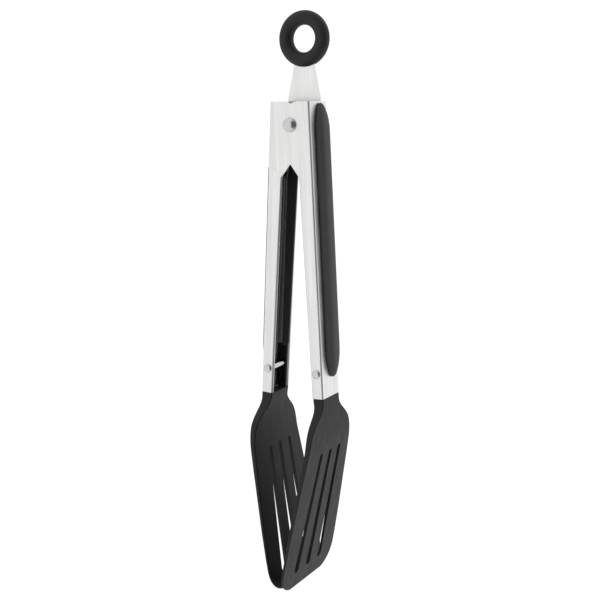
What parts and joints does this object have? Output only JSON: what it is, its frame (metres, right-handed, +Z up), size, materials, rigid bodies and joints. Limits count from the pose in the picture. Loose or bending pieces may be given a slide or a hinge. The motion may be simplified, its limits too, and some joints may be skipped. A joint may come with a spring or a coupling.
{
  "type": "spring loaded kitchen tongs",
  "caption": "Spring loaded kitchen tongs: two steel channel arms with soft grips, slotted nylon turner blades and a pull-ring lock at the pivot.",
  "frame": {"origin": "centre of the hanging ring's hole, where a hook or rail carries the tongs", "axes": "+Z up along the tongs towards the ring, X the way the arms open, Y along the pivot rivet with the front at -Y"},
  "size_m": [0.045, 0.0564, 0.3045],
  "materials": {
    "steel": "stainless sheet, fine lengthwise brush, softly reflective",
    "rivet_steel": "polished steel rivet heads",
    "spring_wire": "dark spring wire, smooth drawn finish",
    "nylon": "glass-filled nylon, moulded, fine matt texture",
    "grip_rubber": "soft-touch thermoplastic rubber, matt",
    "silicone": "moulded silicone, satin"
  },
  "bodies": {
    "pull_ring": {"hanging_ring": "silicone", "pull_tab": "steel"},
    "pivot": {"pivot_rivet": "rivet_steel", "pivot_washer": "rivet_steel", "spring_bush": "nylon", "torsion_spring": "spring_wire"},
    "outer_side": {"outer_arm": "steel", "outer_grip": "grip_rubber", "outer_liner": "nylon", "outer_blade": "nylon", "outer_blade_rivet": "rivet_steel"},
    "inner_side": {"inner_arm": "steel", "inner_grip": "grip_rubber", "inner_liner": "nylon", "inner_blade": "nylon", "inner_blade_rivet": "rivet_steel"}
  },
  "joints": [
    {"name": "pull_slide", "type": "slide", "parent": "pull_ring", "child": "pivot", "axis": [0, 0, 1], "range_m": [0, 0.0093]},
    {"name": "outer_hinge", "type": "hinge", "parent": "pivot", "child": "outer_side", "pos_m": [0, -0.0065, -0.0432], "axis": [0, -1, 0], "range_deg": [0, 10]},
    {"name": "inner_hinge", "type": "hinge", "parent": "pivot", "child": "inner_side", "pos_m": [0, -0.0065, -0.0432], "axis": [0, 1, 0], "range_deg": [0, 10]}
  ],
  "couplings": [
    {"joint": "inner_hinge", "follows": "outer_hinge", "ratio": 1},
    {"joint": "pull_slide", "follows": "outer_hinge", "m_per_rad": 0.0532}
  ]
}
